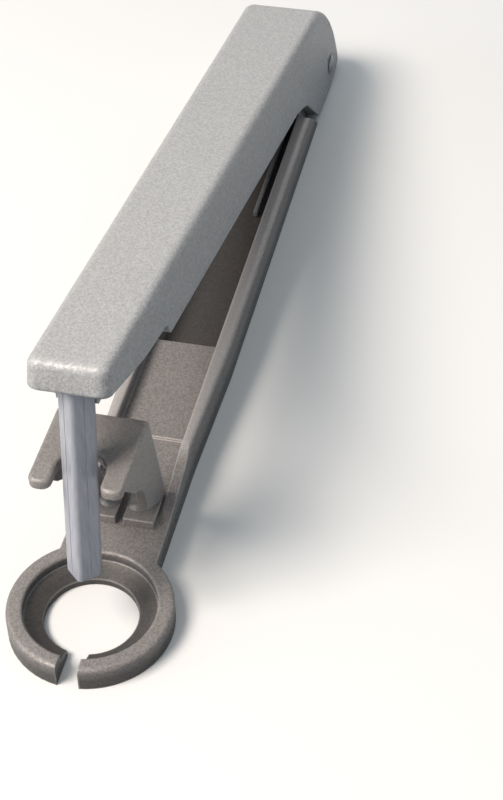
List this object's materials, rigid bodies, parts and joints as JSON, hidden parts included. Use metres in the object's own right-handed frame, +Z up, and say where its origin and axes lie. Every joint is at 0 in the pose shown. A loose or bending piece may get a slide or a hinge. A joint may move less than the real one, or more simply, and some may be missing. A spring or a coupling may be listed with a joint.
{
  "type": "cherry pitter with lever",
  "caption": "Hand-held lever cherry pitter: a slotted cup ring on a channel arm, a fork bridge, and a hinged upper lever with a square punch, opened by a torsion spring.",
  "frame": {"origin": "on the resting plane, midway between the hinge axis and the axis of the cherry cup", "axes": "+X from the hinge towards the cup and the punch, +Z up, +Y to the left of someone who looks along +X"},
  "size_m": [0.1732, 0.026, 0.052],
  "materials": {
    "coated_lever": "fine-grained silver coating on die-cast aluminium",
    "coated_arm": "fine-grained silver coating on die-cast aluminium",
    "coated_bridge": "silver coating on folded aluminium sheet",
    "bare_punch": "drawn along its length, satin",
    "rivet_aluminium": "bright",
    "pin_steel": "satin, riveted ends",
    "sleeve_plastic": "matte",
    "spring_steel": "drawn spring wire"
  },
  "bodies": {
    "base": {"lower_lever": "coated_arm", "stripper": "coated_bridge", "stripper_rivets": "rivet_aluminium", "spring_sleeve": "sleeve_plastic", "return_spring": "spring_steel"},
    "lever": {"upper_lever": "coated_lever", "punch": "bare_punch", "hinge_pin": "pin_steel"}
  },
  "joints": [
    {"name": "lever_hinge", "type": "hinge", "parent": "base", "child": "lever", "pos_m": [-0.07575, 0, 0.0055], "axis": [0, 1, 0], "range_deg": [-6.8, 4.2], "stiffness_Nm_per_rad": 0.5, "springref_deg": -34.38, "deforming": ["return_spring"]}
  ]
}
